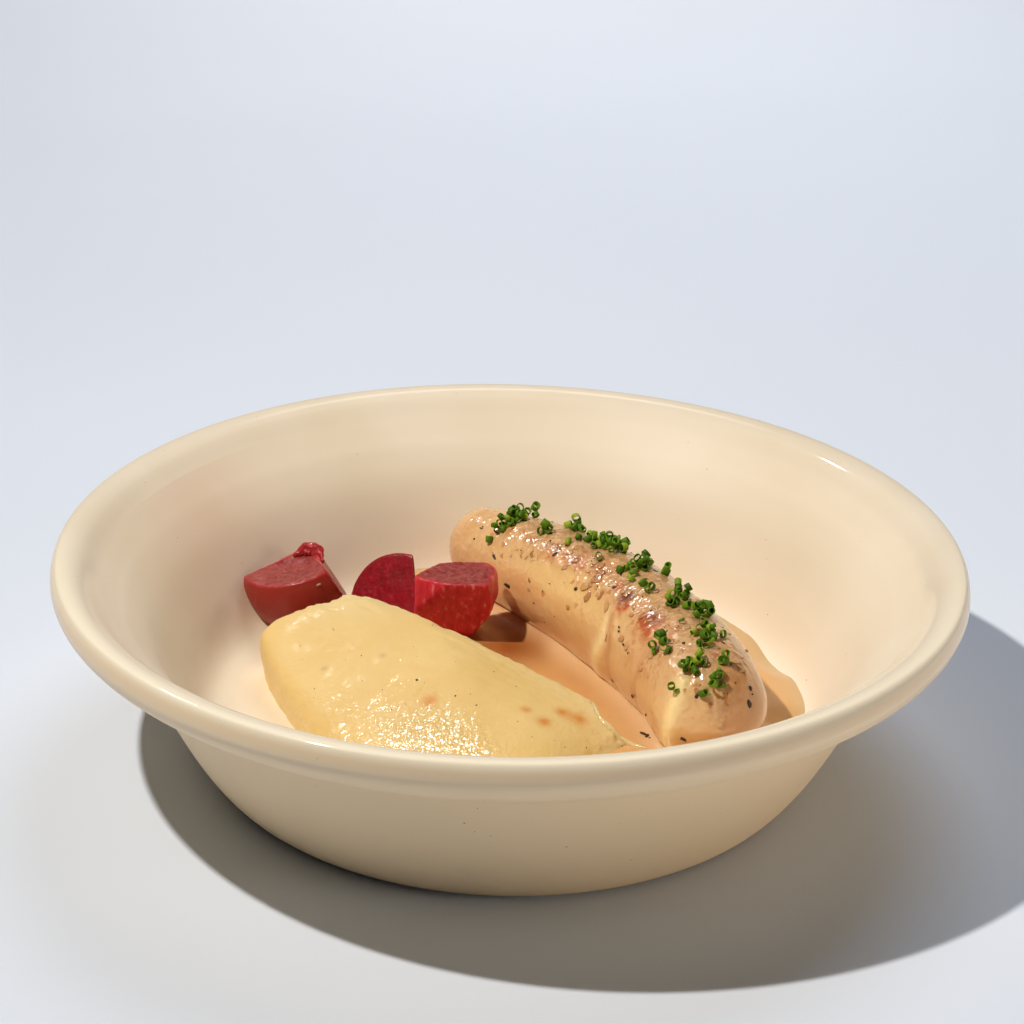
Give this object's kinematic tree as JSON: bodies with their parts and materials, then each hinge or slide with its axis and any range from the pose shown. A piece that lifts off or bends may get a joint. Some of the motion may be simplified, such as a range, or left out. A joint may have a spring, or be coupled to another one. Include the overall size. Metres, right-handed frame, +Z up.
{
  "type": "bangers and mash in a bowl",
  "caption": "Coated sausage with chopped chives, mashed potato, gravy and red beet wedges served in a wide stoneware bowl with a rolled rim.",
  "frame": {"origin": "middle of the bowl's underside, on the surface that it stands on", "axes": "+Z up, -Y towards the diner, +X to the diner's right"},
  "size_m": [0.24, 0.24, 0.0608],
  "materials": {
    "stoneware": "cream glazed stoneware, smooth and softly glossy",
    "sausage": "pale poached sausage under a creamy gravy coat, glossy and wet",
    "mash": "smooth buttery mashed potato, moist",
    "beet": "poached red beet, wet skin and duller cut faces",
    "gravy": "thin creamy gravy with a wet gloss",
    "chive": "fresh chopped chive, waxy"
  },
  "bodies": {
    "root": {"bowl": "stoneware", "sausage": "sausage", "mash": "mash", "beet_left": "beet", "beet_middle": "beet", "beet_right": "beet", "gravy": "gravy"}
  },
  "joints": []
}
